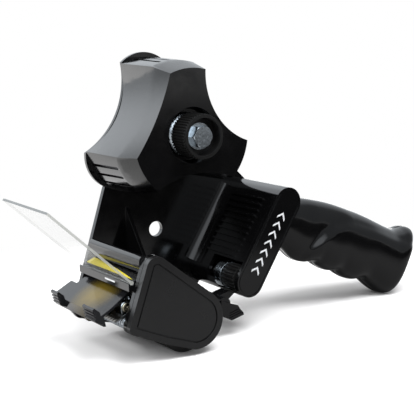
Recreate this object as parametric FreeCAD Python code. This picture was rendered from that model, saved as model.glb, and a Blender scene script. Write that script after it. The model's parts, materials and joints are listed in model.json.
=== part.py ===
import FreeCAD, Part
import math
import os

# Tape gun dispenser. Millimetres, +Z up. The design frame has X = 0 and Y = 0 on the tape roll hub's
# axis at mid tape width, -X towards the blade, +X towards the handle, -Y towards the open side that
# the tape roll goes on, and Z = 0 on the table. Every part is shifted at the end, so that the origin
# is the bottom centre of the whole tool.

V = FreeCAD.Vector

# ---- driving dimensions ----
HUB_Z = 110.1             # hub axis above the table
HUB_NEAR = -23.5          # hub's open face
HUB_FAR = 24.4            # hub's flange face
CORE_R = 38.1             # bore of a 3 inch tape core
LOBE_ANGLES = (93.2, 213.2, 333.2)
LOBE_TIP_R = 33.5         # lead-in end of a lobe
SIDE_NEAR_R = (22.8, 19.4, 17.3)  # middles of the hollow sides after each lobe, at the open face
SIDE_FAR_R = 19.9         # and at the flange
FLANGE_R = 40.7

PLATE_IN = 25.5           # side plate
PLATE_OUT = 28.5
SPINDLE_R = 7.5
BOLT_R = 3.0

CHEEK_IN = -28.8          # near wall of the nose
CHEEK_OUT = -31.8
COVER_BACK = -32.0
COVER_FACE = -35.5

ROLLER = (-9.3, 13.75)    # rubber roller axis (x, z); its radius is its height
ROLLER_Y = (-26.5, 23.2)
AXLE_R = 3.0

BODY_LOW = (35.5, 28.4)   # lower and upper arc centres of the slanted body
BODY_HIGH = (61.2, 68.3)
BODY_R = 8.4
BODY_NEAR = -20.5
CAP_BACK = -18.0
BODY_WALL = 2.5

GUIDE = (32.8, 30.0)      # ribbed guide roller
GUIDE_R = 7.0
GUIDE_PIN_R = 2.0

GUARD_AXIS = (-42.0, 20.8)
GUARD_SHAFT_R = 1.5
FLAP_AXIS = (-40.6, 41.5)
FLAP_TIP = (-83.2, 81.0)
FLAP_T = 1.3
BEAD_R = 1.1

LEVER_AXIS = (20.0, 18.0)
LEVER_PIN_R = 2.0

GRIP_MID = 3.0            # handle's mid plane
GRIP_WALL = 2.4

HANG_HOLE = (4.9, 54.3)
HANG_R = 4.15
RUN = 0.08                # radial running clearance

# Handle stations: top point, bottom point (x, z) and half thickness.
GRIP_STATIONS = [
    ((70.5, 66.8), (59.0, 48.7), 11.5),
    ((74.5, 66.7), (66.0, 42.8), 11.5),
    ((80.0, 66.2), (72.8, 37.2), 11.5),
    ((85.5, 65.4), (79.4, 31.0), 11.5),
    ((91.0, 64.3), (85.6, 28.3), 11.8),
    ((98.0, 62.6), (93.4, 27.6), 12.4),
    ((103.0, 61.2), (97.8, 24.0), 13.2),
    ((109.0, 59.2), (103.6, 20.7), 14.2),
    ((115.0, 56.9), (110.0, 19.9), 15.0),
    ((120.5, 54.7), (114.6, 16.0), 15.0),
    ((127.0, 52.0), (120.6, 12.8), 15.0),
    ((135.0, 48.2), (129.4, 12.0), 15.0),
    ((141.5, 44.9), (134.4, 8.6), 15.0),
    ((148.0, 41.6), (138.6, 4.9), 15.0),
    ((154.5, 38.8), (142.5, 1.9), 15.0),
    ((160.5, 38.2), (145.6, 0.3), 15.0),
    ((165.4, 38.6), (148.2, 0.0), 14.5),
    ((168.6, 37.8), (150.4, 1.4), 13.3),
    ((169.6, 35.6), (151.8, 4.6), 11.4),
]
GRIP_SCREWS = [(88.0, 47.0), (118.0, 36.0), (150.0, 20.0)]
BODY_SCREWS = [(40.0, 35.4), (57.0, 61.8)]

# Nose outline (x, z), shared by the near wall, its cover and the side plate's lower front.
NOSE_START = (-46.0, 22.0)
NOSE_STEPS = [
    (-35.4, 51.0),
    ((-31.6, 54.1), (-26.0, 52.8)),
    (1.7, 30.6),
    ((7.5, 18.2), (-9.9, 3.7)),
    (-26.6, 9.6),
    (-43.8, 17.2),
    ((-46.2, 19.2), NOSE_START),
]
PLATE_START = (-46.4, 17.0)
PLATE_STEPS = [
    (-14.2, 114.6),
    ((1.8, 128.7), (15.0, 124.6)),
    (65.6, 75.5),
    ((69.6, 68.3), (68.26, 63.75)),
    (42.56, 23.85),
    ((39.6, 21.1), (35.5, 20.3)),
    (32.6, 21.3),
    (30.4, 18.4),
    (24.0, 11.5),
    (3.4, 8.9),
    ((-3.6, 4.4), (-12.0, 3.4)),
    (-30.0, 7.6),
    (-42.4, 11.9),
    ((-45.6, 13.6), PLATE_START),
]


# ---- helpers ----
def at(point, y):
    return V(point[0], y, point[1])


def outline(start, steps, y):
    """Closed wire in the XZ plane: a step is an end point, or (point on the arc, end point)."""
    edges = []
    here = start
    for step in steps:
        if isinstance(step[0], tuple):
            edges.append(Part.Arc(at(here, y), at(step[0], y), at(step[1], y)).toShape())
            here = step[1]
        else:
            edges.append(Part.LineSegment(at(here, y), at(step, y)).toShape())
            here = step
    if math.dist(here, start) > 1e-6:
        edges.append(Part.LineSegment(at(here, y), at(start, y)).toShape())
    return Part.Wire(edges)


def slab(start, steps, y0, y1):
    return Part.Face(outline(start, steps, y0)).extrude(V(0, y1 - y0, 0))


def polygon(points, y0, y1):
    return slab(points[0], points[1:], y0, y1)


def rod(centre, radius, y0, y1):
    return Part.makeCylinder(radius, y1 - y0, at(centre, y0), V(0, 1, 0))


def ring(centre, outer, inner, y0, y1):
    return rod(centre, outer, y0, y1).cut(rod(centre, inner, y0 - 1, y1 + 1))


def polar(centre, radius, degrees):
    a = math.radians(degrees)
    return (centre[0] + radius * math.cos(a), centre[1] + radius * math.sin(a))


def hexagon(centre, across_flats, y0, y1):
    corner = across_flats / math.sqrt(3)
    return polygon([polar(centre, corner, 60 * i) for i in range(6)], y0, y1)


def coil(centre, mean_r, wire_r, y0, y1, turns):
    """A helical spring about an axis along Y, its wire given flat facets."""
    steps = int(turns * 12)
    rings = []
    for i in range(steps + 1):
        a = 2 * math.pi * turns * i / steps
        y = y0 + (y1 - y0) * i / steps
        rings.append([V(centre[0] + (mean_r + wire_r * math.cos(b)) * math.cos(a),
                        y + wire_r * math.sin(b),
                        centre[1] + (mean_r + wire_r * math.cos(b)) * math.sin(a))
                      for b in (math.pi * k / 3 for k in range(6))])
    faces = []
    for here, after in zip(rings, rings[1:]):
        for k in range(6):
            a, b, c, d = here[k], here[k - 1], after[k - 1], after[k]
            faces.append(Part.Face(Part.makePolygon([a, b, c, a])))
            faces.append(Part.Face(Part.makePolygon([a, c, d, a])))
    for end in (rings[0], rings[-1]):
        faces.append(Part.Face(Part.makePolygon(end + end[:1])))
    return Part.makeSolid(Part.makeShell(faces))


def toward(a, b, distance):
    length = math.dist(a, b)
    return (a[0] + (b[0] - a[0]) * distance / length, a[1] + (b[1] - a[1]) * distance / length)


def stadium(low, high, radius, y0, y1):
    """Round-ended bar outline along the line low-high."""
    ux = (high[0] - low[0]) / math.dist(low, high)
    uz = (high[1] - low[1]) / math.dist(low, high)
    front_low = (low[0] - radius * uz, low[1] + radius * ux)
    front_high = (high[0] - radius * uz, high[1] + radius * ux)
    rear_low = (low[0] + radius * uz, low[1] - radius * ux)
    rear_high = (high[0] + radius * uz, high[1] - radius * ux)
    steps = [
        front_high,
        ((high[0] + radius * ux, high[1] + radius * uz), rear_high),
        rear_low,
        ((low[0] - radius * ux, low[1] - radius * uz), front_low),
    ]
    return slab(front_low, steps, y0, y1)


parts = {}
HUB_AXIS = (0.0, HUB_Z)


# ---- side plate and hub spindle ----
def cross_wall():
    """Curved wall that joins the nose's near wall to the side plate."""
    return slab((-36.3, 51.8), [
        ((-35.3, 53.6), (-33.2, 54.0)),
        ((-30.4, 47.2), (-25.6, 38.0)),
        (-25.2, 27.5),
        (-27.4, 27.5),
        (-27.9, 38.2),
        (-31.2, 44.0),
        (-33.8, 44.8),
        ((-36.0, 48.2), (-36.3, 51.8)),
    ], CHEEK_IN, PLATE_IN)


def side_frame():
    body = slab(PLATE_START, PLATE_STEPS, PLATE_IN, PLATE_OUT)
    body = body.fuse(rod(ROLLER, 6.5, ROLLER_Y[1] + 0.5, PLATE_IN))
    body = body.fuse(rod(LEVER_AXIS, 5.0, 20.0, PLATE_IN))
    # triangular rib that stands on the plate above the rubber roller
    rib = Part.Face(Part.makePolygon([V(-13.5, PLATE_IN, 68.5), V(-13.5, PLATE_IN, 35.0),
                                      V(-13.5, 1.0, 35.0), V(-13.5, PLATE_IN, 68.5)]))
    body = body.fuse(rib.extrude(V(2.0, 0, 0)))
    body = body.cut(rod(HUB_AXIS, BOLT_R + RUN, 20, PLATE_OUT + 1))
    body = body.cut(hexagon(HUB_AXIS, 10.2, PLATE_OUT - 5.2, PLATE_OUT + 1))
    body = body.cut(rod(HANG_HOLE, HANG_R, PLATE_IN - 1, PLATE_OUT + 1))
    body = body.cut(rod(ROLLER, AXLE_R, 20, PLATE_OUT - 1))
    body = body.cut(rod(LEVER_AXIS, LEVER_PIN_R, 19, PLATE_OUT - 1))
    body = body.cut(rod(GUIDE, GUIDE_PIN_R, 20, PLATE_OUT - 1))
    body = body.cut(rod(GUARD_AXIS, GUARD_SHAFT_R, 20, PLATE_OUT - 1))
    for spot in BODY_SCREWS:
        body = body.cut(rod(spot, 1.7, 20, PLATE_OUT + 1))
        body = body.cut(rod(spot, 3.2, PLATE_OUT - 1.9, PLATE_OUT + 1))
    return body


def hub_spindle():
    """Flanged tube that the bolt clamps to the side plate and the hub turns on."""
    spindle = rod(HUB_AXIS, SPINDLE_R, -16.5, PLATE_IN).fuse(rod(HUB_AXIS, 12.0, HUB_FAR + 0.3, PLATE_IN))
    spindle = spindle.cut(hexagon(HUB_AXIS, 10.2, PLATE_OUT - 5.2, PLATE_OUT))
    return spindle.cut(rod(HUB_AXIS, BOLT_R + RUN, -20, PLATE_OUT))


# ---- tape roll hub ----
def lobed(radius, half_angle, side_radii, y, tip_r=None):
    """Three round tips joined by three hollow sides; tip_r bulges the tips past their corners."""
    edges = []
    for i, angle in enumerate(LOBE_ANGLES):
        after = LOBE_ANGLES[(i + 1) % 3]
        first = polar(HUB_AXIS, radius, angle - half_angle)
        tip = polar(HUB_AXIS, tip_r or radius, angle)
        last = polar(HUB_AXIS, radius, angle + half_angle)
        hollow = polar(HUB_AXIS, side_radii[i], angle + 60)
        following = polar(HUB_AXIS, radius, after - half_angle)
        edges.append(Part.Arc(at(first, y), at(tip, y), at(last, y)).toShape())
        edges.append(Part.Arc(at(last, y), at(hollow, y), at(following, y)).toShape())
    return Part.Wire(edges)


def hub():
    middle = [near + (SIDE_FAR_R - near) * 0.3 for near in SIDE_NEAR_R]
    lead_in = Part.makeLoft([lobed(LOBE_TIP_R, 17.9, SIDE_NEAR_R, HUB_NEAR),
                             lobed(37.0, 18.8, middle, -9.0)], True, True)
    barrel = Part.makeLoft([lobed(37.0, 18.8, middle, -9.0),
                            lobed(CORE_R, 19.3, [SIDE_FAR_R] * 3, HUB_FAR - 2)], True, True)
    rim = lobed(CORE_R + 0.3, 18.3, [SIDE_FAR_R + 0.3] * 3, HUB_FAR - 2, FLANGE_R)
    flange = Part.Face(rim).extrude(V(0, 2, 0))
    body = lead_in.fuse(barrel).fuse(flange)
    # well for the tension knob, bore for the spindle, hollow back
    body = body.cut(Part.makeCone(14.2, 12.9, 5.5, at(HUB_AXIS, HUB_NEAR - 0.01), V(0, 1, 0)))
    body = body.cut(rod(HUB_AXIS, SPINDLE_R + RUN, HUB_NEAR, HUB_FAR + 1))
    cavity = Part.Face(lobed(34.0, 17.0, [16.0] * 3, -14.5)).extrude(V(0, 50, 0))
    body = body.cut(cavity.cut(rod(HUB_AXIS, 10.5, -20, 40)))
    # three blind grooves along each lobe, round at their near ends
    for angle in LOBE_ANGLES:
        for offset in (-8.5, 0.0, 8.5):
            groove = Part.makeBox(3.0, 26.0, 1.6, V(36.2, -5.5, -0.8))
            groove = groove.fuse(Part.makeCylinder(0.8, 3.0, V(36.2, -5.5, 0), V(1, 0, 0)))
            groove.rotate(V(0, 0, 0), V(0, 1, 0), -(angle + offset))
            groove.translate(at(HUB_AXIS, 0))
            body = body.cut(groove)
    return body


def tension_knob():
    teeth = 48
    rim = []
    for i in range(teeth):
        rim.append(polar(HUB_AXIS, 11.4, (i - 0.22) * 360 / teeth))
        rim.append(polar(HUB_AXIS, 11.4, (i + 0.22) * 360 / teeth))
        rim.append(polar(HUB_AXIS, 10.8, (i + 0.34) * 360 / teeth))
        rim.append(polar(HUB_AXIS, 10.8, (i + 0.66) * 360 / teeth))
    knob = polygon(rim, -32.6, -21.2)
    knob = knob.fuse(rod(HUB_AXIS, 10.9, -34.2, -32.6))
    knob = knob.fuse(rod(HUB_AXIS, 9.7, -21.2, -19.7))
    knob = knob.cut(rod(HUB_AXIS, 9.4, -35, -28.0))
    knob = knob.cut(rod(HUB_AXIS, 8.2, -25.7, -19))
    return knob.cut(rod(HUB_AXIS, BOLT_R, -30, -20))


def friction_washer():
    """Flat ring with a wide chamfer round its near edge."""
    washer = ring(HUB_AXIS, 11.2, BOLT_R + 0.3, -19.6, -18.7)
    edge = Part.makeCone(9.9, 11.2, 0.8, at(HUB_AXIS, -19.6), V(0, 1, 0))
    return washer.common(edge.fuse(rod(HUB_AXIS, 11.2, -18.8, -18.0)))


def hub_bolt():
    head = hexagon(HUB_AXIS, 10.0, -33.4, -29.3)
    dome = Part.makeCone(5.15, 5.9, 0.6, at(HUB_AXIS, -33.4), V(0, 1, 0))
    head = head.common(dome.fuse(rod(HUB_AXIS, 6.2, -32.8, -29.3)))
    return head.fuse(rod(HUB_AXIS, BOLT_R, -29.3, 28.0))


# ---- nose ----
def nose_housing():
    cheek = slab(NOSE_START, NOSE_STEPS, CHEEK_OUT, CHEEK_IN)
    housing = cheek.fuse(cross_wall()).fuse(rod(ROLLER, 6.5, CHEEK_IN, ROLLER_Y[0] - 0.5))
    housing = housing.cut(rod(ROLLER, AXLE_R, CHEEK_OUT, ROLLER_Y[0]))
    housing = housing.cut(rod(GUARD_AXIS, GUARD_SHAFT_R, CHEEK_IN - 2, CHEEK_IN + 1))
    for spot in COVER_SCREWS:
        housing = housing.cut(rod(spot, 1.3, CHEEK_OUT - 1, CHEEK_IN + 1))
    return housing


COVER_SCREWS = [(-21.0, 43.0), (-36.0, 18.5), (1.0, 24.5)]


def nose_inset(distance, y):
    ring_wire = outline(NOSE_START, NOSE_STEPS, y)
    return ring_wire.makeOffset2D(-distance)


def nose_cover():
    cover = slab(NOSE_START, NOSE_STEPS, COVER_FACE, COVER_BACK)
    outer = Part.Face(nose_inset(3.4, COVER_FACE)).extrude(V(0, 0.8, 0))
    inner = Part.Face(nose_inset(4.2, COVER_FACE)).extrude(V(0, 0.8, 0))
    cover = cover.cut(outer.cut(inner))
    for spot in COVER_SCREWS:
        cover = cover.cut(rod(spot, 1.25, COVER_BACK - 2.2, COVER_BACK + 1))
    return cover


def cover_screws():
    screws = []
    for spot in COVER_SCREWS:
        head = Part.makeCone(2.4, 1.7, 1.2, at(spot, CHEEK_IN), V(0, 1, 0))
        screws.append(head.fuse(rod(spot, 1.2, COVER_BACK - 2.0, CHEEK_IN)))
    return Part.makeCompound(screws)


# ---- rubber roller ----
def roller_core():
    core = rod(ROLLER, 10.4, *ROLLER_Y)
    for y0, y1 in ((ROLLER_Y[0] + 3, ROLLER_Y[0] + 20), (ROLLER_Y[1] - 20, ROLLER_Y[1] - 3)):
        core = core.cut(ring(ROLLER, 8.4, 6.6, y0, y1))
    core = core.cut(rod(ROLLER, AXLE_R + 0.5, -40, 40))
    for y0 in (ROLLER_Y[0], ROLLER_Y[1] - 4.0):
        core = core.cut(rod(ROLLER, 5.0, y0 - 0.01, y0 + 4.01))
    return core


def roller_bushes():
    return Part.makeCompound([ring(ROLLER, 5.0, AXLE_R + RUN, y0, y0 + 4.0)
                              for y0 in (ROLLER_Y[0], ROLLER_Y[1] - 4.0)])


# ---- slanted body behind the roll ----
def along_front(n, y, t):
    """A point on the body's front wall: n out of the wall, t up along it."""
    ux = (BODY_HIGH[0] - BODY_LOW[0]) / math.dist(BODY_LOW, BODY_HIGH)
    uz = (BODY_HIGH[1] - BODY_LOW[1]) / math.dist(BODY_LOW, BODY_HIGH)
    x = BODY_LOW[0] - (BODY_R + n) * uz + t * ux
    z = BODY_LOW[1] + (BODY_R + n) * ux + t * uz
    return V(x, y, z)


def rear_body():
    length = math.dist(BODY_LOW, BODY_HIGH)
    shell = stadium(BODY_LOW, BODY_HIGH, BODY_R, CAP_BACK, PLATE_IN)
    shell = shell.cut(stadium(BODY_LOW, BODY_HIGH, BODY_R - BODY_WALL, CAP_BACK - 1, PLATE_IN + 1))
    # hollow fillet between the front wall and the side plate
    base = along_front(0, PLATE_IN, 0)
    foot = along_front(7.5, PLATE_IN, 0)
    top = along_front(0, PLATE_IN - 7.5, 0)
    bulge = 7.5 * (1 - math.sqrt(0.5))
    middle = along_front(bulge, PLATE_IN - bulge, 0)
    fillet = Part.Face(Part.Wire([Part.makeLine(base, foot), Part.Arc(foot, middle, top).toShape(),
                                  Part.makeLine(top, base)]))
    up = along_front(0, 0, 1) - along_front(0, 0, 0)
    shell = shell.fuse(fillet.extrude(up * length))
    # fine ribs that keep the roll's sticky face off the wall
    for i in range(11):
        t = 9.0 + 3.45 * i
        corner = along_front(-0.5, -10.5, t)
        edge_n = along_front(0.8, -10.5, t)
        edge_t = along_front(-0.5, -10.5, t + 0.9)
        rib = Part.Face(Part.makePolygon([corner, edge_n, edge_n + (edge_t - corner), edge_t, corner]))
        shell = shell.fuse(rib.extrude(V(0, 29.0, 0)))
    # window that the guide roller looks out of, and a slot for the brake lever's heel
    window = Part.makePolygon([along_front(3.0, CAP_BACK - 1, -12.0), along_front(3.0, CAP_BACK - 1, 7.5),
                               along_front(-4.2, CAP_BACK - 1, 7.5),
                               along_front(-4.2, CAP_BACK - 1, -12.0),
                               along_front(3.0, CAP_BACK - 1, -12.0)])
    shell = shell.cut(Part.Face(window).extrude(V(0, 9.5 - CAP_BACK + 1, 0)))
    shell = shell.cut(rod(GUIDE, GUIDE_R + 0.9, CAP_BACK - 1, 0.7))
    shell = shell.cut(Part.makeBox(9.0, 9.6, 9.5, V(24.0, -13.8, 16.0)))
    # tongue that carries the handle, and screw posts
    tongue = polygon([(60.0, 54.0), (66.5, 64.0), (97.0, 54.5), (94.0, 38.0), (76.0, 42.0)],
                     GRIP_MID - 5, GRIP_MID + 5)
    tongue = tongue.cut(stadium(BODY_LOW, BODY_HIGH, BODY_R - 0.5, -30, 30))
    tongue = tongue.cut(rod(GRIP_SCREWS[0], 4.2, -30, 30))
    shell = shell.fuse(tongue)
    for spot in BODY_SCREWS:
        shell = shell.fuse(rod(spot, 6.2, 10.0, PLATE_IN)).cut(rod(spot, 1.3, 11.0, PLATE_IN + 1))
    return shell.cut(rod(GUIDE, GUIDE_PIN_R, -30, 30)).removeSplitter()


def body_cap():
    cap = stadium(BODY_LOW, BODY_HIGH, BODY_R, BODY_NEAR, CAP_BACK)
    cap = cap.cut(stadium(BODY_LOW, BODY_HIGH, BODY_R - 1.0, BODY_NEAR - 1, BODY_NEAR + 0.4))
    cap = cap.fuse(stadium(BODY_LOW, BODY_HIGH, BODY_R - 1.5, BODY_NEAR + 0.1, BODY_NEAR + 1.0))
    lip = stadium(BODY_LOW, BODY_HIGH, BODY_R - BODY_WALL - 0.1, CAP_BACK, CAP_BACK + 2)
    lip = lip.cut(stadium(BODY_LOW, BODY_HIGH, BODY_R - BODY_WALL - 1.6, CAP_BACK, CAP_BACK + 2))
    cap = cap.fuse(lip.cut(rod(GUIDE, GUIDE_R + 1.6, CAP_BACK, CAP_BACK + 3)))
    return cap.cut(rod(GUIDE, GUIDE_PIN_R, CAP_BACK - 1.5, CAP_BACK + 3)).removeSplitter()


def screws_from_far_side(spots, head_y, length, head_r, shank_r):
    """Pan screws driven from the far side, their heads sunk at head_y."""
    screws = []
    for spot in spots:
        head = rod(spot, head_r, head_y - 1.6, head_y)
        head = head.cut(Part.makeBox(head_r * 1.4, 0.8, 0.7, V(spot[0] - head_r * 0.7, head_y - 0.8,
                                                               spot[1] - 0.35)))
        screws.append(head.fuse(rod(spot, shank_r, head_y - length, head_y - 1.6)))
    return Part.makeCompound(screws)


# ---- guide roller ----
def guide_roller():
    ribs = 20
    rim = []
    for i in range(ribs):
        rim.append(polar(GUIDE, GUIDE_R, (i - 0.2) * 360 / ribs))
        rim.append(polar(GUIDE, GUIDE_R, (i + 0.2) * 360 / ribs))
        rim.append(polar(GUIDE, GUIDE_R - 0.8, (i + 0.3) * 360 / ribs))
        rim.append(polar(GUIDE, GUIDE_R - 0.8, (i + 0.7) * 360 / ribs))
    roller = polygon(rim, -17.3, -6.2)
    return roller.cut(rod(GUIDE, GUIDE_PIN_R + RUN, -30, 30))


# ---- handle ----
def grip_loft(stations, inset):
    """Smooth skin through oval sections, each between a top and a bottom point."""
    wires = []
    for top, bottom, half in stations:
        high = toward(top, bottom, inset)
        low = toward(bottom, top, inset)
        mid = ((high[0] + low[0]) / 2, (high[1] + low[1]) / 2)
        points = []
        for i in range(16):
            a = 2 * math.pi * i / 16
            side = math.copysign(abs(math.sin(a)) ** 0.75, math.sin(a)) * (half - inset)
            lift = math.copysign(abs(math.cos(a)) ** 0.75, math.cos(a))
            points.append(V(mid[0] + (high[0] - mid[0]) * lift, GRIP_MID + side,
                            mid[1] + (high[1] - mid[1]) * lift))
        curve = Part.BSplineCurve()
        curve.interpolate(Points=points, PeriodicFlag=True)
        wires.append(Part.Wire(curve.toShape()))
    return Part.makeLoft(wires, True, False)


def grip_shells():
    skin = grip_loft(GRIP_STATIONS, 0.0)
    inner = [((57.0, 68.0), (47.0, 52.0), 11.5)] + GRIP_STATIONS[:-2]
    hollow = skin.cut(grip_loft(inner, GRIP_WALL))
    near_side = Part.makeBox(140, 40, 100, V(50, GRIP_MID - 40, -10))
    far_side = Part.makeBox(140, 40, 100, V(50, GRIP_MID + 0.02, -10))
    near = hollow.common(near_side)
    far = hollow.common(far_side)
    for spot in GRIP_SCREWS:
        near = near.fuse(rod(spot, 3.8, GRIP_MID - 14, GRIP_MID).common(skin))
        near = near.cut(rod(spot, 1.3, GRIP_MID - 9, GRIP_MID + 1))
        far = far.fuse(rod(spot, 3.8, GRIP_MID + 0.02, GRIP_MID + 16).common(skin))
        far = far.cut(rod(spot, 1.7, GRIP_MID - 1, GRIP_MID + 20))
        far = far.cut(rod(spot, 3.2, GRIP_MID + 8.0, GRIP_MID + 20))
    return near, far


# ---- blade, guard and flap ----
BLADE_BACK = (-30.2, 30.6)
BLADE_TIP = (-49.6, 22.5)
BLADE_T = 0.8
BLADE_Y = (-26.5, 23.5)
EYELET = (-43.0, 29.3)


def on_blade(s, lift):
    """A point at distance s forward from the blade's back edge, lift above its lower face."""
    base = toward(BLADE_BACK, BLADE_TIP, s)
    dx = (BLADE_TIP[0] - BLADE_BACK[0]) / math.dist(BLADE_BACK, BLADE_TIP)
    dz = (BLADE_TIP[1] - BLADE_BACK[1]) / math.dist(BLADE_BACK, BLADE_TIP)
    return (base[0] + lift * dz, base[1] - lift * dx)


def blade():
    length = math.dist(BLADE_BACK, BLADE_TIP)
    plate = polygon([on_blade(0, 0), on_blade(length, 0), on_blade(length, BLADE_T),
                     on_blade(0, BLADE_T)], *BLADE_Y)
    teeth = 20
    pitch = (BLADE_Y[1] - BLADE_Y[0]) / teeth
    for i in range(teeth):
        y = BLADE_Y[0] + pitch * i
        notch = [at(on_blade(length + 0.5, -1), y - 0.001), at(on_blade(length - 2.2, -1), y + pitch / 2),
                 at(on_blade(length + 0.5, -1), y + pitch + 0.001)]
        face = Part.Face(Part.makePolygon(notch + notch[:1]))
        plate = plate.cut(face.extrude(at(on_blade(0, 3), 0) - at(on_blade(0, 0), 0)))
    for y in (-14.0, 12.0):
        plate = plate.cut(Part.makeCylinder(1.5, 4, at(on_blade(4.5, -1), y), blade_normal()))
    return plate


def blade_normal():
    return at(on_blade(0, 1), 0) - at(on_blade(0, 0), 0)


def blade_bracket():
    foot = polygon([(-28.0, 37.2), (-29.6, 37.2), (-29.6, on_blade(0.3, -0.02)[1]),
                    on_blade(9.0, -0.02), on_blade(9.0, -1.6), (-28.0, 28.2)], -28.6, 25.3)
    for y in (-14.0, 12.0):
        foot = foot.cut(Part.makeCylinder(1.25, 6, at(on_blade(4.5, -4), y), blade_normal()))
    return foot


def blade_clamp():
    """Zinc strip over the blade's back; a tab at its near end turns up to hold the eyelet."""
    low = BLADE_T + 0.02
    strip = polygon([on_blade(1.5, low), on_blade(9.0, low), on_blade(9.0, 1.8), on_blade(1.5, 1.8)],
                    BLADE_Y[0] + 0.2, BLADE_Y[1] - 0.2)
    tab = polygon([on_blade(8.5, low), on_blade(16.0, low), on_blade(16.0, 1.8), on_blade(8.5, 1.8)],
                  BLADE_Y[0] + 0.2, -20.0)
    ear = polygon([on_blade(10.0, low), on_blade(16.0, low), (-45.6, 30.2), EYELET, (-40.6, 31.4)],
                  BLADE_Y[0] + 0.2, BLADE_Y[0] + 1.2)
    ear = ear.fuse(rod(EYELET, 2.7, BLADE_Y[0] + 0.2, BLADE_Y[0] + 1.2))
    clamp = strip.fuse(tab).fuse(ear).cut(rod(EYELET, 1.7, -30, -20))
    for y in (-14.0, 12.0):
        clamp = clamp.cut(Part.makeCylinder(1.5, 4, at(on_blade(4.5, -1), y), blade_normal()))
    return clamp


def blade_screws():
    screws = []
    for y in (-14.0, 12.0):
        head = Part.makeCone(2.3, 1.7, 1.1, at(on_blade(4.5, BLADE_T + 1.0), y), blade_normal())
        shank = Part.makeCylinder(1.2, 4.0, at(on_blade(4.5, BLADE_T - 3.0), y), blade_normal())
        screws.append(head.fuse(shank))
    return Part.makeCompound(screws)


def flap_bar():
    bar = polygon([(-42.4, 37.4), (-42.4, 41.9), (-39.2, 42.4), (-33.6, 44.4), (-31.6, 43.6),
                   (-28.6, 38.6), (-28.4, 37.4)], -28.6, 25.3)
    bar = bar.cut(rod(FLAP_AXIS, BEAD_R + 0.1, -40, 40))
    mouth = polygon([FLAP_AXIS, polar(FLAP_AXIS, 6, 93), polar(FLAP_AXIS, 8, 136),
                     polar(FLAP_AXIS, 6, 188)], -40, 40)
    return bar.cut(mouth)


def clear_flap():
    tip = FLAP_TIP
    dx = (tip[0] - FLAP_AXIS[0]) / math.dist(FLAP_AXIS, tip)
    dz = (tip[1] - FLAP_AXIS[1]) / math.dist(FLAP_AXIS, tip)
    h = FLAP_T / 2
    sheet = polygon([(FLAP_AXIS[0] - h * dz, FLAP_AXIS[1] + h * dx), (tip[0] - h * dz, tip[1] + h * dx),
                     (tip[0] + h * dz, tip[1] - h * dx), (FLAP_AXIS[0] + h * dz, FLAP_AXIS[1] - h * dx)],
                    -28.4, 24.2)
    return sheet.fuse(rod(FLAP_AXIS, BEAD_R, -28.4, 24.2))


def warning_label():
    low = (-38.9, 42.52)
    high = toward(low, (-33.6, 44.4), 5.0)
    lift = V(-0.08, 0, 0.24)
    edges = [Part.makeLine(at(low, 23.5), at(high, 23.5)),
             Part.Arc(at(high, 23.5), at(toward(low, high, 3.7), 2.0), at(low, -26.5)).toShape(),
             Part.makeLine(at(low, -26.5), at(low, 23.5))]
    return Part.Face(Part.Wire(edges)).extrude(lift)


def blade_guard():
    hood = [(-37.1, 36.2), (-56.0, 26.45), (-54.6, 20.9), (-53.2, 20.9), (-54.3, 25.75), (-36.5, 34.9)]
    guard = polygon(hood, -24.0, 30.5)
    # the near end is cut on a slant, and the far end keeps clear of the side plate's edge
    slant = Part.makePolygon([V(-36.0, -25, 0), V(-36.0, -20.9, 0), V(-53.5, -24.5, 0), V(-36.0, -25, 0)])
    guard = guard.cut(Part.Face(slant).extrude(V(0, 0, 60)))
    guard = guard.cut(Part.makeBox(20, 20, 60, V(-45.1, 24.0, 0)))
    lip = [(-55.6, 26.2), (-56.4, 28.6), (-59.3, 31.0), (-60.2, 30.2), (-58.9, 24.2), (-57.6, 23.2),
           (-54.9, 22.2)]
    for y0, y1 in ((-24.0, -12.6), (16.2, 24.0)):
        ledge = polygon(lip, y0, y1)
        for z in (25.2, 26.8, 28.4):
            step = [(-61, z), (-58.6, z), (-58.6, z + 0.6), (-61, z + 0.6)]
            ledge = ledge.cut(polygon(step, y0 - 1, y1 + 1))
        guard = guard.fuse(ledge)
    arm = [(-54.0, 24.6), (-53.9, 21.2), (-51.3, 17.9), (-44.0, 17.0), GUARD_AXIS, (-46.0, 20.3),
           (-50.8, 19.8), (-52.2, 22.2), (-53.4, 25.6)]
    for y0, y1 in ((-1.0, 2.0), (15.0, 18.0)):
        guard = guard.fuse(polygon(arm, y0, y1)).fuse(rod(GUARD_AXIS, 3.2, y0, y1))
    return guard.cut(rod(GUARD_AXIS, GUARD_SHAFT_R + RUN, -30, 30)).removeSplitter()


# ---- brake lever ----
def brake_lever():
    lever = rod(LEVER_AXIS, 4.0, -18.0, 12.0)
    tab = polygon([(17.0, 21.0), (27.4, 17.0), (29.0, 14.6), (30.6, 12.9), (31.2, 11.2), (23.3, 9.3),
                   (16.6, 13.0)], -20.0, -8.0)
    lever = lever.fuse(tab)
    for i in range(3):
        groove = polygon([(21.6 + 0.2 * i, 10.6 + 1.3 * i), (33.0, 13.4 + 1.3 * i),
                          (33.0, 13.9 + 1.3 * i), (21.6 + 0.2 * i, 11.1 + 1.3 * i)], -20.5, -19.5)
        lever = lever.cut(groove)
    heel = polygon([(18.0, 20.8), (22.5, 16.4), (30.0, 21.9), (27.0, 23.5), (22.0, 22.4)], -13.0, -5.0)
    lever = lever.fuse(heel)
    return lever.cut(rod(LEVER_AXIS, LEVER_PIN_R + RUN, -16.5, 13)).removeSplitter()


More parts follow.
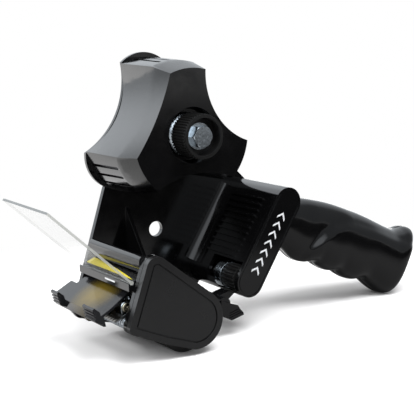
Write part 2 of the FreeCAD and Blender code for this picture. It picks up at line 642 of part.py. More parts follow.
# ---- all nodes ----
near_shell, far_shell = grip_shells()
parts["side_frame"] = side_frame()
parts["hub_spindle"] = hub_spindle()
parts["hub"] = hub()
parts["felt_disc"] = ring(HUB_AXIS, 10.6, SPINDLE_R + 0.2, -18.6, -18.02)
parts["friction_washer"] = friction_washer()
parts["tension_spring"] = coil(HUB_AXIS, 5.6, 0.6, -25.0, -20.3, 2.5)
parts["tension_knob"] = tension_knob()
parts["bolt_washer"] = ring(HUB_AXIS, 6.8, BOLT_R, -29.3, -28.0)
parts["hub_bolt"] = hub_bolt()
parts["hub_nut"] = hexagon(HUB_AXIS, 10.0, PLATE_OUT - 5.1, PLATE_OUT - 0.2).cut(
    rod(HUB_AXIS, BOLT_R + RUN, 0, 40))
parts["nose_housing"] = nose_housing()
parts["nose_cover"] = nose_cover()
parts["cover_screws"] = cover_screws()
parts["roller_tyre"] = ring(ROLLER, ROLLER[1], 10.4, ROLLER_Y[0] + 0.4, ROLLER_Y[1] - 0.4)
parts["roller_core"] = roller_core()
parts["roller_bushes"] = roller_bushes()
parts["roller_axle"] = rod(ROLLER, AXLE_R, CHEEK_OUT, PLATE_OUT - 1)
parts["rear_body"] = rear_body()
parts["body_cap"] = body_cap()
parts["body_screws"] = screws_from_far_side(BODY_SCREWS, PLATE_OUT - 0.2, 16.0, 3.0, 1.25)
parts["guide_roller"] = guide_roller()
parts["guide_spacer"] = ring(GUIDE, 7.3, GUIDE_PIN_R, -5.9, 0.2)
parts["guide_pin"] = rod(GUIDE, GUIDE_PIN_R, CAP_BACK - 1.5, PLATE_OUT - 1)
parts["handle_near_shell"] = near_shell
parts["handle_far_shell"] = far_shell
parts["handle_screws"] = screws_from_far_side(GRIP_SCREWS, GRIP_MID + 9.6, 18.0, 3.0, 1.25)
parts["blade"] = blade()
parts["blade_bracket"] = blade_bracket()
parts["blade_clamp"] = blade_clamp()
parts["blade_screws"] = blade_screws()
parts["flap_bar"] = flap_bar()
parts["clear_flap"] = clear_flap()
parts["warning_label"] = warning_label()
parts["blade_guard"] = blade_guard()
parts["guard_shaft"] = rod(GUARD_AXIS, GUARD_SHAFT_R, CHEEK_IN - 2, PLATE_OUT - 1)
parts["guard_spring"] = coil(GUARD_AXIS, 2.8, 0.45, -26.4, -2.4, 12)
parts["clamp_eyelet"] = ring(EYELET, 1.7, 1.0, -27.3, -25.0).fuse(ring(EYELET, 2.3, 1.0, -27.3, -26.5))
parts["brake_lever"] = brake_lever()
parts["brake_pad"] = polygon([(30.0, 21.92), (30.34, 22.56), (27.34, 24.16), (27.0, 23.52)], -12.8, -6.4)
parts["lever_pin"] = rod(LEVER_AXIS, LEVER_PIN_R, -16.0, PLATE_OUT - 1)
parts["lever_spring"] = coil(LEVER_AXIS, 3.1, 0.4, 12.9, 19.4, 5)

# Origin at the bottom centre of the tool's box.
everything = Part.makeCompound(list(parts.values()))
box = everything.optimalBoundingBox(False)
shift = V(-(box.XMin + box.XMax) / 2, -(box.YMin + box.YMax) / 2, -box.ZMin)

os.makedirs("parts", exist_ok=True)
for name, shape in parts.items():
    shape.translate(shift)
    shape.exportStep("parts/" + name + ".step")
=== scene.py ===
import json
import math

import bmesh
import bpy
from mathutils import Matrix, Vector


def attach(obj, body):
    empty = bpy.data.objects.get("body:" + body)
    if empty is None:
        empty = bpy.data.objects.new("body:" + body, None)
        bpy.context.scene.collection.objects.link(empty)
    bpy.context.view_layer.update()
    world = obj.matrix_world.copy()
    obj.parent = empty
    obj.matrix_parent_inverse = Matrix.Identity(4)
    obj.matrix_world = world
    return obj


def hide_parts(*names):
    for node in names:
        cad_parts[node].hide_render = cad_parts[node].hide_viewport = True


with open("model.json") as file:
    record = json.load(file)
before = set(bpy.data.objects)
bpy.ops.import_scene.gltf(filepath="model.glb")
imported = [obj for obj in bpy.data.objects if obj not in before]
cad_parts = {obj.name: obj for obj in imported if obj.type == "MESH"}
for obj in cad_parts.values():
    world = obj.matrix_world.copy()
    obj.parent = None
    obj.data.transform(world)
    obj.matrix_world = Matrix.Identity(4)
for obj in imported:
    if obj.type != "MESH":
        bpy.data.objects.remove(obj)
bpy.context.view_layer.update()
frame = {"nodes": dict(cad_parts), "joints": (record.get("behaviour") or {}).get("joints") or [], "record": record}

# Tape gun dispenser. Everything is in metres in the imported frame. The hub's axis, at mid tape width, is
# the reference that the tool's own dimensions start from: x along the tool, y across the tape, z up.
MM = 0.001
HUB_HEIGHT = 110.1 * MM
JOINT = {joint["name"]: Vector(joint["pos_m"]) for joint in frame["joints"]}
HUB = JOINT["hub_spin"]
BASE = Vector((HUB.x, HUB.y, HUB.z - HUB_HEIGHT))


def at(x, y, z):
    """A point given in millimetres from the hub's axis, mid tape width and the table."""
    return BASE + Vector((x, y, z)) * MM


# ---- materials ----
def new_material(name):
    material = bpy.data.materials.new(name)
    material.use_nodes = True
    tree = material.node_tree
    shader = tree.nodes["Principled BSDF"]
    return material, tree, shader


def noise(tree, scale, detail=3.0, roughness=0.5):
    place = tree.nodes.new("ShaderNodeTexCoord")
    texture = tree.nodes.new("ShaderNodeTexNoise")
    texture.inputs["Scale"].default_value = scale
    texture.inputs["Detail"].default_value = detail
    texture.inputs["Roughness"].default_value = roughness
    tree.links.new(place.outputs["Object"], texture.inputs["Vector"])
    return texture.outputs["Fac"]


def ranged(tree, value, low, high, start=0.3, end=0.7):
    node = tree.nodes.new("ShaderNodeMapRange")
    node.inputs["From Min"].default_value = start
    node.inputs["From Max"].default_value = end
    node.inputs["To Min"].default_value = low
    node.inputs["To Max"].default_value = high
    tree.links.new(value, node.inputs["Value"])
    return node.outputs["Result"]


def blended(tree, value, first, second):
    node = tree.nodes.new("ShaderNodeMix")
    node.data_type = "RGBA"
    node.inputs["A"].default_value = (*first, 1)
    node.inputs["B"].default_value = (*second, 1)
    tree.links.new(value, node.inputs["Factor"])
    return node.outputs["Result"]


def bumped(tree, shader, height, strength, distance):
    node = tree.nodes.new("ShaderNodeBump")
    node.inputs["Strength"].default_value = strength
    node.inputs["Distance"].default_value = distance
    tree.links.new(height, node.inputs["Height"])
    tree.links.new(node.outputs["Normal"], shader.inputs["Normal"])


def moulded_plastic(name, dark, light, rough, grain=0.06, grain_scale=2600, specular=0.5):
    """Moulded thermoplastic: fine grain, faint flow marks in its colour and its gloss."""
    material, tree, shader = new_material(name)
    flow = noise(tree, 45, 4)
    tree.links.new(blended(tree, flow, dark, light), shader.inputs["Base Color"])
    tree.links.new(ranged(tree, noise(tree, 160, 5), rough - 0.03, rough + 0.05),
                   shader.inputs["Roughness"])
    shader.inputs["Specular IOR Level"].default_value = specular
    bumped(tree, shader, noise(tree, grain_scale, 2), grain, 0.00004)
    return material


def plated_steel(name, dark, light, rough, stretch=(1, 1, 1)):
    """Bright or ground metal, with fine streaks drawn out where the stretch is small."""
    material, tree, shader = new_material(name)
    place = tree.nodes.new("ShaderNodeTexCoord")
    mapping = tree.nodes.new("ShaderNodeMapping")
    mapping.inputs["Scale"].default_value = stretch
    streaks = tree.nodes.new("ShaderNodeTexNoise")
    streaks.inputs["Scale"].default_value = 900
    streaks.inputs["Detail"].default_value = 4
    tree.links.new(place.outputs["Object"], mapping.inputs["Vector"])
    tree.links.new(mapping.outputs["Vector"], streaks.inputs["Vector"])
    tree.links.new(blended(tree, streaks.outputs["Fac"], dark, light), shader.inputs["Base Color"])
    tree.links.new(ranged(tree, streaks.outputs["Fac"], rough - 0.05, rough + 0.08),
                   shader.inputs["Roughness"])
    shader.inputs["Metallic"].default_value = 1.0
    bumped(tree, shader, streaks.outputs["Fac"], 0.04, 0.00002)
    return material


def soft_rubber():
    material, tree, shader = new_material("roller_rubber")
    mottle = noise(tree, 700, 4)
    tree.links.new(blended(tree, mottle, (0.006, 0.006, 0.006), (0.016, 0.016, 0.015)),
                   shader.inputs["Base Color"])
    tree.links.new(ranged(tree, mottle, 0.42, 0.6), shader.inputs["Roughness"])
    bumped(tree, shader, noise(tree, 3200, 3), 0.35, 0.00006)
    return material


def pressed_felt():
    material, tree, shader = new_material("pressed_felt")
    fibres = noise(tree, 2400, 8, 0.75)
    tree.links.new(blended(tree, fibres, (0.10, 0.085, 0.075), (0.30, 0.27, 0.24)),
                   shader.inputs["Base Color"])
    shader.inputs["Roughness"].default_value = 0.95
    shader.inputs["Sheen Weight"].default_value = 0.4
    bumped(tree, shader, fibres, 0.9, 0.0002)
    return material


def clear_sheet(name, dark, light, cover):
    """Thin clear polycarbonate: light passes straight on, faint haze and scuffs show."""
    material, tree, shader = new_material(name)
    haze = noise(tree, 60, 5)
    tree.links.new(blended(tree, haze, dark, light), shader.inputs["Base Color"])
    tree.links.new(ranged(tree, noise(tree, 380, 5), 0.05, 0.16), shader.inputs["Roughness"])
    tree.links.new(ranged(tree, haze, *cover), shader.inputs["Alpha"])
    bumped(tree, shader, noise(tree, 1500, 3), 0.05, 0.00003)
    return material


def vinyl_label():
    material, tree, shader = new_material("yellow_vinyl")
    print_tone = noise(tree, 220, 4)
    tree.links.new(blended(tree, print_tone, (0.52, 0.43, 0.008), (0.62, 0.53, 0.018)),
                   shader.inputs["Base Color"])
    tree.links.new(ranged(tree, print_tone, 0.28, 0.42), shader.inputs["Roughness"])
    bumped(tree, shader, noise(tree, 900, 3), 0.08, 0.00005)
    return material


# The guard's colour turns yellow-brown round this point of its plate, and fades back to smoked grey over these
# distances.
AMBER_CENTRE = (-46.0, -1.0, 31.5)
AMBER_FULL, AMBER_GONE = 4 * MM, 17 * MM


def smoked_guard():
    """Smoked grey moulding, with a yellow-brown patch in the middle of its plate."""
    material, tree, shader = new_material("smoked_amber")
    place = tree.nodes.new("ShaderNodeTexCoord")
    offset = tree.nodes.new("ShaderNodeVectorMath")
    offset.operation = "DISTANCE"
    tree.links.new(place.outputs["Object"], offset.inputs[0])
    offset.inputs[1].default_value = at(*AMBER_CENTRE)
    reach = ranged(tree, offset.outputs["Value"], 1.0, 0.0, AMBER_FULL, AMBER_GONE)
    tone = tree.nodes.new("ShaderNodeMath")
    tone.operation = "MULTIPLY"
    tree.links.new(reach, tone.inputs[0])
    tree.links.new(ranged(tree, noise(tree, 70, 4), 0.7, 1.0), tone.inputs[1])
    tree.links.new(blended(tree, tone.outputs[0], (0.010, 0.0105, 0.012), (0.15, 0.105, 0.010)),
                   shader.inputs["Base Color"])
    shader.inputs["Roughness"].default_value = 0.16
    shader.inputs["Specular IOR Level"].default_value = 0.25
    bumped(tree, shader, noise(tree, 2400, 2), 0.05, 0.00003)
    return material


FINISH = {
    "black_plastic": moulded_plastic("gloss_black_abs", (0.0016, 0.0016, 0.0018),
                                     (0.0030, 0.0030, 0.0033), 0.12),
    "black_knob": moulded_plastic("black_nylon", (0.004, 0.004, 0.004), (0.008, 0.008, 0.008), 0.30, 0.12),
    "satin_panel": moulded_plastic("satin_black_abs", (0.006, 0.006, 0.0062),
                                   (0.010, 0.010, 0.0104), 0.30, 0.25, 1900),
    "zinc_steel": plated_steel("bright_zinc", (0.52, 0.58, 0.63), (0.64, 0.70, 0.75), 0.20),
    "steel_pin": plated_steel("ground_steel", (0.50, 0.51, 0.52), (0.70, 0.70, 0.71), 0.25, (1, 6, 1)),
    "spring_steel": plated_steel("spring_wire", (0.62, 0.68, 0.74), (0.80, 0.85, 0.90), 0.22),
    "blade_steel": plated_steel("rolled_blade_steel", (0.56, 0.56, 0.54), (0.80, 0.79, 0.76), 0.28,
                                (8, 0.6, 8)),
    "rubber": soft_rubber(),
    "core_plastic": moulded_plastic("grey_roller_core", (0.020, 0.020, 0.021), (0.035, 0.035, 0.036),
                                    0.42),
    "bush_plastic": moulded_plastic("natural_acetal", (0.62, 0.60, 0.52), (0.74, 0.72, 0.64), 0.38),
    "brass": plated_steel("turned_brass", (0.80, 0.70, 0.48), (0.95, 0.88, 0.70), 0.22),
    "felt": pressed_felt(),
    "clear_plastic": clear_sheet("clear_sheet", (0.27, 0.28, 0.265), (0.33, 0.34, 0.32), (0.17, 0.23)),
    "yellow_label": vinyl_label(),
}
# Painted shade for the clear flap's cut end: a dark grey finish.
SHEET_EDGE_PAINTED_SHADE = moulded_plastic("sheet_edge_painted_shade", (0.07, 0.075, 0.075), (0.10, 0.105, 0.105), 0.3, 0.02)
GUARD_GLOSS = smoked_guard()
# Painted shade for the clear flap's near edge: a denser clear finish.
SHEET_SIDE_PAINTED_SHADE = clear_sheet("sheet_side_painted_shade", (0.36, 0.37, 0.35), (0.44, 0.45, 0.43), (0.75, 0.85))
WHITE_PRINT = moulded_plastic("white_pad_print", (0.70, 0.72, 0.74), (0.80, 0.82, 0.84), 0.42, 0.1)

SLOT_OF = {part["node"]: part["material_slot"] for part in frame["record"]["subparts"]}
for node, thing in frame["nodes"].items():
    for material_slot in thing.material_slots:
        material_slot.material = FINISH[SLOT_OF[node]]


# ---- pieces made from the frame's own solids, with rounded edges ----
def body_of(node):
    for body, members in frame["record"]["behaviour"]["bodies"].items():
        if node in members:
            return body
    return "root"


def settle(piece, node, *more_nodes):
    """The piece rides where the node rides and stands for it: the node is hidden."""
    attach(piece, body_of(node))
    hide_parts(node, *more_nodes)
    return piece


MERGE_GAP = 0.004 * MM
FLAT_ANGLE = math.radians(0.6)
BEVEL_ANGLE = math.radians(28)


def rounded(node, width):
    """The node's solid again, with its sharp edges rounded to a moulding's radius."""
    mesh = frame["nodes"][node].data.copy()
    work = bmesh.new()
    work.from_mesh(mesh)
    bmesh.ops.remove_doubles(work, verts=work.verts, dist=MERGE_GAP)
    bmesh.ops.dissolve_limit(work, angle_limit=FLAT_ANGLE, verts=work.verts, edges=work.edges)
    for face in work.faces:
        face.smooth = True
    work.to_mesh(mesh)
    work.free()
    piece = bpy.data.objects.new(node + "_moulding", mesh)
    bpy.context.scene.collection.objects.link(piece)
    bevel = piece.modifiers.new("edge_radius", "BEVEL")
    bevel.width = width * MM
    bevel.segments = 2
    bevel.limit_method = "ANGLE"
    bevel.angle_limit = BEVEL_ANGLE
    bevel.use_clamp_overlap = True
    bevel.harden_normals = False
    shading = piece.modifiers.new("even_shading", "WEIGHTED_NORMAL")
    shading.keep_sharp = False
    shading.weight = 100
    mesh.materials.clear()
    mesh.materials.append(FINISH[SLOT_OF[node]])
    return settle(piece, node)


# ---- springs ----
STEPS_PER_TURN = 24
CLOSED_PITCH = 2.1


def coil_spring(name, node, centre, mean_r, wire_r, y0, y1, turns, end_turns=1.0):
    """A wire spring along Y. Its end coils lie CLOSED_PITCH wire radii apart."""
    steps = int(turns * STEPS_PER_TURN)
    spring = bpy.data.curves.new(name, "CURVE")
    spring.dimensions = "3D"
    spring.bevel_depth = wire_r * MM
    spring.bevel_resolution = 4
    spring.use_fill_caps = True
    line = spring.splines.new("POLY")
    line.points.add(steps)
    closed = CLOSED_PITCH * wire_r
    pitch = (y1 - y0 - 2 * end_turns * closed) / (turns - 2 * end_turns)
    for i, point in enumerate(line.points):
        t = turns * i / steps
        if t < end_turns:
            y = y0 + closed * t
        elif t > turns - end_turns:
            y = y1 - closed * (turns - t)
        else:
            y = y0 + closed * end_turns + pitch * (t - end_turns)
        a = 2 * math.pi * t
        point.co = (*at(centre[0] + mean_r * math.cos(a), y, centre[1] + mean_r * math.sin(a)), 1)
    line.use_smooth = True
    piece = bpy.data.objects.new(name, spring)
    bpy.context.scene.collection.objects.link(piece)
    spring.materials.append(FINISH[SLOT_OF[node]])
    return settle(piece, node)


# ---- the visible pieces ----
EDGE_WIDTHS = {
    "side_frame": 0.35, "hub": 0.7, "nose_housing": 0.3, "nose_cover": 0.5, "rear_body": 0.3,
    "body_cap": 0.45, "tension_knob": 0.15, "hub_bolt": 0.12, "bolt_washer": 0.15, "flap_bar": 0.2,
    "blade_guard": 0.2, "brake_lever": 0.2, "guide_roller": 0.15, "blade_clamp": 0.12,
    "roller_tyre": 0.4, "friction_washer": 0.05, "guide_spacer": 0.15, "clamp_eyelet": 0.15,
    "clear_flap": 0.1,
}
mouldings = {node: rounded(node, width) for node, width in EDGE_WIDTHS.items()}

# Painted shade: the flap's cut end and its near edge get darker, denser finishes than the sheet, standing in for
# the dark lines along a clear sheet's edges.
FLAP_TIP, FLAP_BEAD = (-83.2, 81.0), (-40.6, 41.5)
TIP_FACES_ABOVE = at(0, 0, 75).z
FACES_THAT_WAY = 0.9
flap = mouldings["clear_flap"].data
flap.materials.append(SHEET_EDGE_PAINTED_SHADE)
flap.materials.append(SHEET_SIDE_PAINTED_SHADE)
flap_way = Vector((FLAP_TIP[0] - FLAP_BEAD[0], 0.0, FLAP_TIP[1] - FLAP_BEAD[1])).normalized()
for face in flap.polygons:
    if face.normal.dot(flap_way) > FACES_THAT_WAY and face.center.z > TIP_FACES_ABOVE:
        face.material_index = 1
    elif face.normal.y < -FACES_THAT_WAY:
        face.material_index = 2
mouldings["blade_guard"].data.materials[0] = GUARD_GLOSS

coil_spring("guard_torsion_spring", "guard_spring", (-42.0, 20.8), 2.8, 0.45, -26.4, -2.4, 12)
coil_spring("brake_coil_spring", "tension_spring", (0, HUB_HEIGHT / MM), 5.6, 0.6, -25.0, -20.3,
            2.5, 0.75)
coil_spring("lever_return_spring", "lever_spring", (20.0, 18.0), 3.1, 0.4, 12.9, 19.4, 5)


# ---- handle ----
# Sections of the grip, each a top point, a bottom point (x, z) and the half thickness.
GRIP_MID = 3.0
GRIP_STATIONS = [
    ((70.5, 66.8), (59.0, 48.7), 11.5), ((74.5, 66.7), (66.0, 42.8), 11.5),
    ((80.0, 66.2), (72.8, 37.2), 11.5), ((85.5, 65.4), (79.4, 31.0), 11.5),
    ((91.0, 64.3), (85.6, 28.3), 11.8), ((98.0, 62.6), (93.4, 27.6), 12.4),
    ((103.0, 61.2), (97.8, 24.0), 13.2), ((109.0, 59.2), (103.6, 20.7), 14.2),
    ((115.0, 56.9), (110.0, 19.9), 15.0), ((120.5, 54.7), (114.6, 16.0), 15.0),
    ((127.0, 52.0), (120.6, 12.8), 15.0), ((135.0, 48.2), (129.4, 12.0), 15.0),
    ((141.5, 44.9), (134.4, 8.6), 15.0), ((148.0, 41.6), (138.6, 4.9), 15.0),
    ((154.5, 38.8), (142.5, 1.9), 15.0), ((160.5, 38.2), (145.6, 0.3), 15.0),
    ((165.4, 38.6), (148.2, 0.0), 14.5), ((168.6, 37.8), (150.4, 1.4), 13.3),
    ((169.6, 35.6), (151.8, 4.6), 11.4),
]
# The raised palm pad starts along this line and is full height PAD_BAND below it.
PAD_FOOT = [(76.0, 20.0), (80.5, 32.0), (84.2, 39.0), (90.0, 43.4), (95.1, 46.7), (102.4, 49.9),
            (112.0, 51.0), (121.2, 48.6), (140.6, 41.3), (156.7, 34.2), (175.0, 26.0)]
PAD_BAND = 4.6
PAD_STEP = 1.0
PAD_HALF = 15.0
# Along the grip, by the x of its top: where the pad widens, and where the neck grows to the pad's width.
PAD_WIDENS, PAD_WIDE_RUN, PAD_WIDE_END = 84.0, 12.0, 118
NECK_HALF = 12.0
NECK_GROWS, NECK_GROW_RUN = 92.0, 26.0
GRIP_ALONG, GRIP_AROUND = 150, 56
PARTING_GAP = 0.10
# The butt is closed by sections that shrink by these factors while they move out by up to BUTT_DEPTH.
BUTT_SHRINKS = (0.9, 0.7, 0.4, 0.0)
BUTT_DEPTH = 0.7
CORNER_POWER = 0.75
GRIP_WALL = 2.4


def through_stations(rows, t):
    """Catmull-Rom value at t of rows of numbers."""
    i = min(int(t), len(rows) - 2)
    f = t - i
    a, b, c, d = (rows[max(0, min(len(rows) - 1, i + k))] for k in (-1, 0, 1, 2))
    return [0.5 * (2 * q + (r - p) * f + (2 * p - 5 * q + 4 * r - s) * f * f
                   + (3 * q - p - 3 * r + s) * f ** 3)
            for p, q, r, s in zip(a, b, c, d)]


def inside_pad(x, z):
    """0 above the pad's line, rising to 1 over the bevel band below it."""
    best = math.inf
    side = 0.0
    for (x0, z0), (x1, z1) in zip(PAD_FOOT, PAD_FOOT[1:]):
        dx, dz = x1 - x0, z1 - z0
        t = max(0.0, min(1.0, ((x - x0) * dx + (z - z0) * dz) / (dx * dx + dz * dz)))
        gap = math.hypot(x - x0 - t * dx, z - z0 - t * dz)
        if gap < best:
            best = gap
            side = dx * (z - z0) - dz * (x - x0)
    depth = best if side < 0 else 0.0
    f = min(1.0, depth / PAD_BAND)
    return f * f * (3 - 2 * f)


def half_width(half, tx, x, z):
    """Half thickness of the grip at (x, z), in a section whose own half thickness is half."""
    blend = min(1.0, max(0.0, (tx - NECK_GROWS) / NECK_GROW_RUN))
    neck = min(half, NECK_HALF) + blend * (half - PAD_STEP - min(half, NECK_HALF))
    full = half
    if tx < PAD_WIDE_END:
        full = half + (PAD_HALF - half) * min(1.0, max(0.0, (tx - PAD_WIDENS) / PAD_WIDE_RUN))
    return neck + (full - neck) * inside_pad(x, z)


def grip_half(name, node, sign):
    """One shell of the grip: a finger-grooved skin with a raised pad, open at the parting plane."""
    rows = [(*top, *bottom, half) for top, bottom, half in GRIP_STATIONS]
    verts, faces = [], []
    sections = [(through_stations(rows, (len(rows) - 1) * i / GRIP_ALONG), 1.0, 0.0)
                for i in range(GRIP_ALONG + 1)]
    sections += [(list(rows[-1]), shrink, BUTT_DEPTH * (1 - shrink * shrink)) for shrink in BUTT_SHRINKS]
    for (tx, tz, bx, bz, half), shrink, out in sections:
        mx, mz = (tx + bx) / 2, (tz + bz) / 2
        length = math.hypot(tx - bx, tz - bz)
        nx, nz = (tz - bz) / length, -(tx - bx) / length
        for j in range(GRIP_AROUND + 1):
            a = math.pi * j / GRIP_AROUND
            lift = math.copysign(abs(math.cos(a)) ** CORNER_POWER, math.cos(a)) * shrink
            side = math.sin(a) ** CORNER_POWER
            x = mx + (tx - mx) * lift + nx * out
            z = mz + (tz - mz) * lift + nz * out
            reach = max(0.0, half_width(half, tx, x, z) * side * shrink - PARTING_GAP)
            verts.append(at(x, GRIP_MID + sign * (PARTING_GAP + reach), z))
    ring = GRIP_AROUND + 1
    for i in range(len(sections) - 1):
        for j in range(GRIP_AROUND):
            a, b = i * ring + j, (i + 1) * ring + j
            quad = (a, b, b + 1, a + 1)
            faces.append(quad if sign > 0 else quad[::-1])
    mesh = bpy.data.meshes.new(name)
    mesh.from_pydata(verts, [], faces)
    work = bmesh.new()
    work.from_mesh(mesh)
    bmesh.ops.remove_doubles(work, verts=work.verts, dist=0.02 * MM)
    for face in work.faces:
        face.smooth = True
    work.to_mesh(mesh)
    work.free()
    piece = bpy.data.objects.new(name, mesh)
    bpy.context.scene.collection.objects.link(piece)
    wall = piece.modifiers.new("wall", "SOLIDIFY")
    wall.thickness = GRIP_WALL * MM
    wall.offset = -1.0
    mesh.materials.append(FINISH[SLOT_OF[node]])
    return settle(piece, node)


grip_half("grip_shell_near", "handle_near_shell", -1)
grip_half("grip_shell_far", "handle_far_shell", 1)


PRINT_LIFT, PRINT_ROOT = 0.05, -0.12


def raised_print(name, outlines, place, node, finish):
    """Thin print standing on a node's face; place(u, v, lift) gives the point over the face."""
    mesh = bpy.data.meshes.new(name)
    work = bmesh.new()
    for outline in outlines:
        front = [work.verts.new(place(u, v, PRINT_LIFT)) for u, v in outline]
        back = [work.verts.new(place(u, v, PRINT_ROOT)) for u, v in outline]
        work.faces.new(front)
        work.faces.new(back[::-1])
        for i in range(len(outline)):
            j = (i + 1) % len(outline)
            work.faces.new((front[i], back[i], back[j], front[j]))
    bmesh.ops.recalc_face_normals(work, faces=work.faces)
    work.to_mesh(mesh)
    work.free()
    piece = bpy.data.objects.new(name, mesh)
    bpy.context.scene.collection.objects.link(piece)
    mesh.materials.append(finish)
    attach(piece, body_of(node))


# ---- plain pad print on the body's cap: a row of chevrons ----
CAP_LOW, CAP_HIGH, CAP_FACE_Y = (35.5, 28.4), (61.2, 68.3), -20.5
CAP_LENGTH = math.dist(CAP_LOW, CAP_HIGH)
CAP_X, CAP_Z = (CAP_HIGH[0] - CAP_LOW[0]) / CAP_LENGTH, (CAP_HIGH[1] - CAP_LOW[1]) / CAP_LENGTH
CHEVRONS, CHEVRON_START, CHEVRON_PITCH = 7, 5.0, 5.4
CHEVRON_HALF, CHEVRON_DEPTH, CHEVRON_STROKE = 2.6, 2.8, 1.3
BAR_FACE_X = -42.4
BAR_MARK = [(-3.6, 39.2), (-14.2, 39.2), (-14.2, 40.1), (-3.6, 40.1)]


def on_cap(along, across):
    return (CAP_LOW[0] + CAP_X * along - CAP_Z * across, CAP_LOW[1] + CAP_Z * along + CAP_X * across)


def chevron(s):
    point = s + CHEVRON_STROKE
    return [on_cap(s, CHEVRON_HALF), on_cap(point, CHEVRON_HALF), on_cap(point + CHEVRON_DEPTH, 0.0),
            on_cap(point, -CHEVRON_HALF), on_cap(s, -CHEVRON_HALF), on_cap(s + CHEVRON_DEPTH, 0.0)]


raised_print("cap_chevrons", [chevron(CHEVRON_START + CHEVRON_PITCH * k) for k in range(CHEVRONS)],
             lambda x, z, lift: at(x, CAP_FACE_Y - lift, z), "body_cap", WHITE_PRINT)
raised_print("bar_mark", [BAR_MARK], lambda y, z, lift: at(BAR_FACE_X - lift, y, z), "flap_bar",
             WHITE_PRINT)


# ---- floor, light and camera ----
def math_node(tree, operation, *values):
    node = tree.nodes.new("ShaderNodeMath")
    node.operation = operation
    for socket, value in zip(node.inputs, values):
        if isinstance(value, (int, float)):
            socket.default_value = value
        else:
            tree.links.new(value, socket)
    return node.outputs[0]


def smooth_step(tree, value, start, end, low=0.0, high=1.0):
    node = tree.nodes.new("ShaderNodeMapRange")
    node.interpolation_type = "SMOOTHSTEP"
    for name, number in (("From Min", start), ("From Max", end), ("To Min", low), ("To Max", high)):
        node.inputs[name].default_value = number
    tree.links.new(value, node.inputs["Value"])
    return node.outputs["Result"]


def mixed(tree, factor, first, second):
    node = tree.nodes.new("ShaderNodeMixShader")
    tree.links.new(factor, node.inputs["Fac"])
    tree.links.new(first, node.inputs[1])
    tree.links.new(second, node.inputs[2])
    return node.outputs["Shader"]


def glow(tree, strength, kind="ShaderNodeEmission", tint=(1, 1, 1)):
    node = tree.nodes.new(kind)
    node.inputs["Color"].default_value = (*tint, 1)
    if isinstance(strength, (int, float)):
        node.inputs["Strength"].default_value = strength
    else:
        tree.links.new(strength, node.inputs["Strength"])
    return node.outputs[0]


FLOOR_RADIUS = 8.0
SEEN_EDGE = (0.17, 0.27)
DIM_EDGE = (0.17, 0.25)
TOWARDS_CAMERA = (0.54, -0.84, 0.0)


def make_floor():
    """A pale table top. Away from the tool it runs out into the backdrop. What the gloss mirrors is darker
    in front and bright behind, as in a studio."""
    bpy.ops.mesh.primitive_circle_add(vertices=96, radius=FLOOR_RADIUS, fill_type="NGON", location=(0, 0, 0))
    floor = bpy.context.object
    floor.name = "floor"
    material = bpy.data.materials.new("pale_table")
    material.use_nodes = True
    tree = material.node_tree
    tree.nodes.clear()
    output = tree.nodes.new("ShaderNodeOutputMaterial")
    paper = tree.nodes.new("ShaderNodeBsdfDiffuse")
    paper.inputs["Color"].default_value = (0.88, 0.88, 0.885, 1)
    place = tree.nodes.new("ShaderNodeNewGeometry")
    radius = tree.nodes.new("ShaderNodeVectorMath")
    radius.operation = "LENGTH"
    tree.links.new(place.outputs["Position"], radius.inputs[0])
    away = radius.outputs["Value"]
    split = tree.nodes.new("ShaderNodeSeparateXYZ")
    tree.links.new(place.outputs["Position"], split.inputs[0])
    near_back = smooth_step(tree, split.outputs["Y"], 0.025, 0.07)
    far_back = smooth_step(tree, split.outputs["Y"], 0.16, 0.7, 0.0, 0.9)
    heading = tree.nodes.new("ShaderNodeVectorMath")
    heading.operation = "NORMALIZE"
    tree.links.new(place.outputs["Position"], heading.inputs[0])
    facing = tree.nodes.new("ShaderNodeVectorMath")
    facing.operation = "DOT_PRODUCT"
    tree.links.new(heading.outputs["Vector"], facing.inputs[0])
    facing.inputs[1].default_value = TOWARDS_CAMERA
    aside = smooth_step(tree, facing.outputs["Value"], 0.75, 0.45, 0.0, 0.75)
    front = math_node(tree, "MAXIMUM", smooth_step(tree, away, 1.5, 1.9, 0.03, 0.8), aside)
    behind = math_node(tree, "ADD", math_node(tree, "MULTIPLY", near_back, 0.9), far_back)
    seen = mixed(tree, smooth_step(tree, away, *SEEN_EDGE), paper.outputs[0], glow(tree, 1.0))
    dim_paper = tree.nodes.new("ShaderNodeBsdfDiffuse")
    dim_paper.inputs["Color"].default_value = (0.20, 0.20, 0.202, 1)
    fade = math_node(tree, "MAXIMUM", smooth_step(tree, away, *DIM_EDGE), near_back)
    bright = glow(tree, math_node(tree, "ADD", front, behind))
    mirrored = mixed(tree, fade, dim_paper.outputs[0], bright)
    path = tree.nodes.new("ShaderNodeLightPath")
    tree.links.new(mixed(tree, path.outputs["Is Camera Ray"], mirrored, seen), output.inputs["Surface"])
    floor.data.materials.append(material)


# Broad soft glows that the gloss finds: direction, where the glow starts and is full (by the cosine of the
# angle from it), and strength.
GLOWS = (((-0.10, 0.83, 0.60), 0.72, 0.97, 0.95), ((-0.60, 0.80, 0.02), 0.62, 0.98, 0.55),
         ((-0.35, -0.70, 0.60), 0.86, 0.96, 1.5))
ROOM_LIGHT = 0.62
GLOSS_TINT = (0.93, 0.98, 1.03)


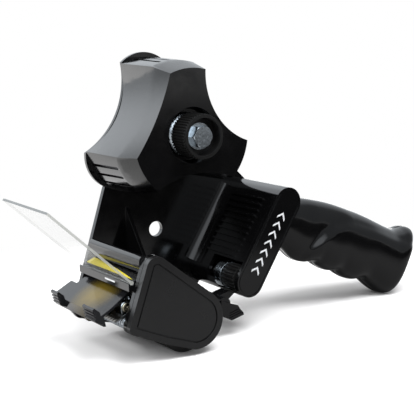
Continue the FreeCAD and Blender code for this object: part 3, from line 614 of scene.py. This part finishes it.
def make_world():
    """Even white surroundings, with what the gloss finds: three soft glows and a dimmer front."""
    world = bpy.data.worlds.new("studio")
    bpy.context.scene.world = world
    world.use_nodes = True
    tree = world.node_tree
    tree.nodes.clear()
    output = tree.nodes.new("ShaderNodeOutputWorld")
    place = tree.nodes.new("ShaderNodeTexCoord")
    total = None
    for direction, start, end, strength in GLOWS:
        aim = Vector(direction).normalized()
        dot = tree.nodes.new("ShaderNodeVectorMath")
        dot.operation = "DOT_PRODUCT"
        tree.links.new(place.outputs["Generated"], dot.inputs[0])
        dot.inputs[1].default_value = aim
        lobe = smooth_step(tree, dot.outputs["Value"], start, end, 0.0, strength)
        total = lobe if total is None else math_node(tree, "ADD", total, lobe)
    split = tree.nodes.new("ShaderNodeSeparateXYZ")
    tree.links.new(place.outputs["Generated"], split.inputs[0])
    total = math_node(tree, "ADD", total, smooth_step(tree, split.outputs["Y"], -0.3, 0.1, 0.35, 0.9))
    path = tree.nodes.new("ShaderNodeLightPath")
    glossy = mixed(tree, path.outputs["Is Glossy Ray"], glow(tree, ROOM_LIGHT, "ShaderNodeBackground"),
                   glow(tree, total, "ShaderNodeBackground", GLOSS_TINT))
    tree.links.new(mixed(tree, path.outputs["Is Camera Ray"], glossy,
                         glow(tree, 1.0, "ShaderNodeBackground")), output.inputs["Surface"])


def softbox(name, direction, distance, size, power):
    """A square lamp aimed at the middle of the tool, which the gloss does not show."""
    aim = at(20, 0, 60)
    lamp = bpy.data.lights.new(name, "AREA")
    lamp.shape = "RECTANGLE"
    lamp.size = size
    lamp.size_y = size
    lamp.energy = power
    holder = bpy.data.objects.new(name, lamp)
    bpy.context.scene.collection.objects.link(holder)
    back = Vector(direction).normalized()
    holder.location = aim + back * distance
    holder.rotation_mode = "QUATERNION"
    holder.rotation_quaternion = back.to_track_quat("Z", "Y")
    holder.visible_camera = False
    holder.visible_glossy = False


CAMERA_AT = (-279.454, -470.147, 167.461)
CAMERA_RIGHT = Vector((0.83884, -0.54377, -0.02554))
CAMERA_UP = Vector((0.11659, 0.13364, 0.98415))
CAMERA_FORWARD = Vector((0.53174, 0.82852, -0.17551))
FOCAL_MM, SENSOR_MM = 92.08, 36.0


def make_camera():
    lens = bpy.data.cameras.new("camera")
    lens.lens = FOCAL_MM
    lens.sensor_width = SENSOR_MM
    lens.clip_start = 0.02
    holder = bpy.data.objects.new("camera", lens)
    bpy.context.scene.collection.objects.link(holder)
    turn = Matrix((CAMERA_RIGHT, CAMERA_UP, -CAMERA_FORWARD)).transposed().to_4x4()
    holder.matrix_world = Matrix.Translation(at(*CAMERA_AT)) @ turn
    bpy.context.scene.camera = holder


make_floor()
make_world()
softbox("overhead", (0.05, -0.60, 1.0), 1.15, 0.6, 16)
softbox("side_fill", (-0.9, -0.15, 0.75), 1.2, 0.7, 13)
make_camera()
bpy.context.scene.view_settings.view_transform = "Standard"
